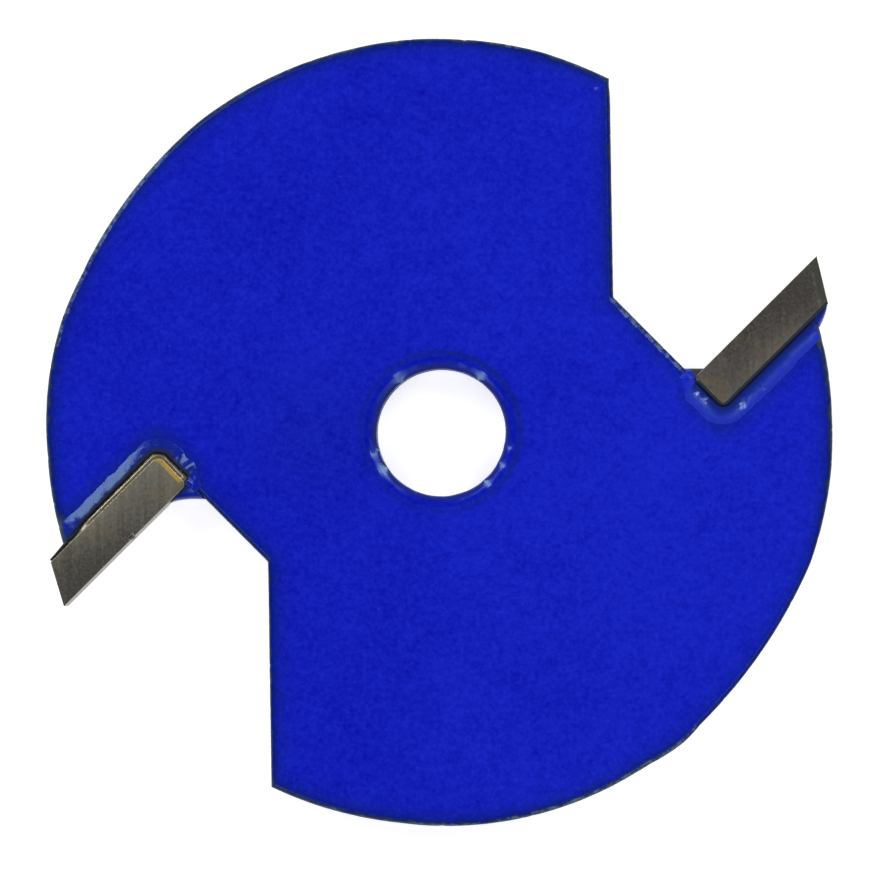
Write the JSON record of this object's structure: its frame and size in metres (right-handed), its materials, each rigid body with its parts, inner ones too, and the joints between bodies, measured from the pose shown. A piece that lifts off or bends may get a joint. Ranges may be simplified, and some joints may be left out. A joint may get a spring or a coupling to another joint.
{
  "type": "slotting cutter",
  "caption": "Flat two-wing slotting cutter with a round arbor bore, angular chip gullets and brazed carbide tips wider than its blue lacquered steel body.",
  "frame": {"origin": "centre of the arbor bore at half the body's thickness", "axes": "+Z along the bore axis towards the pictured side, seen from which the cutter turns anticlockwise; +X to the right and +Y up in the picture"},
  "size_m": [0.0482, 0.0482, 0.004],
  "materials": {
    "blue_lacquer": "satin deep blue lacquer over steel, worn thin along the rim",
    "ground_carbide": "ground tungsten carbide, dull brownish grey with fine grinding lines",
    "lacquered_braze": "brazing metal in soft beads under the blue lacquer, brassy where it meets the tip"
  },
  "bodies": {
    "root": {"cutter_body": "blue_lacquer", "carbide_tip_1": "ground_carbide", "carbide_tip_2": "ground_carbide", "braze_joint_1": "lacquered_braze", "braze_joint_2": "lacquered_braze"}
  },
  "joints": []
}
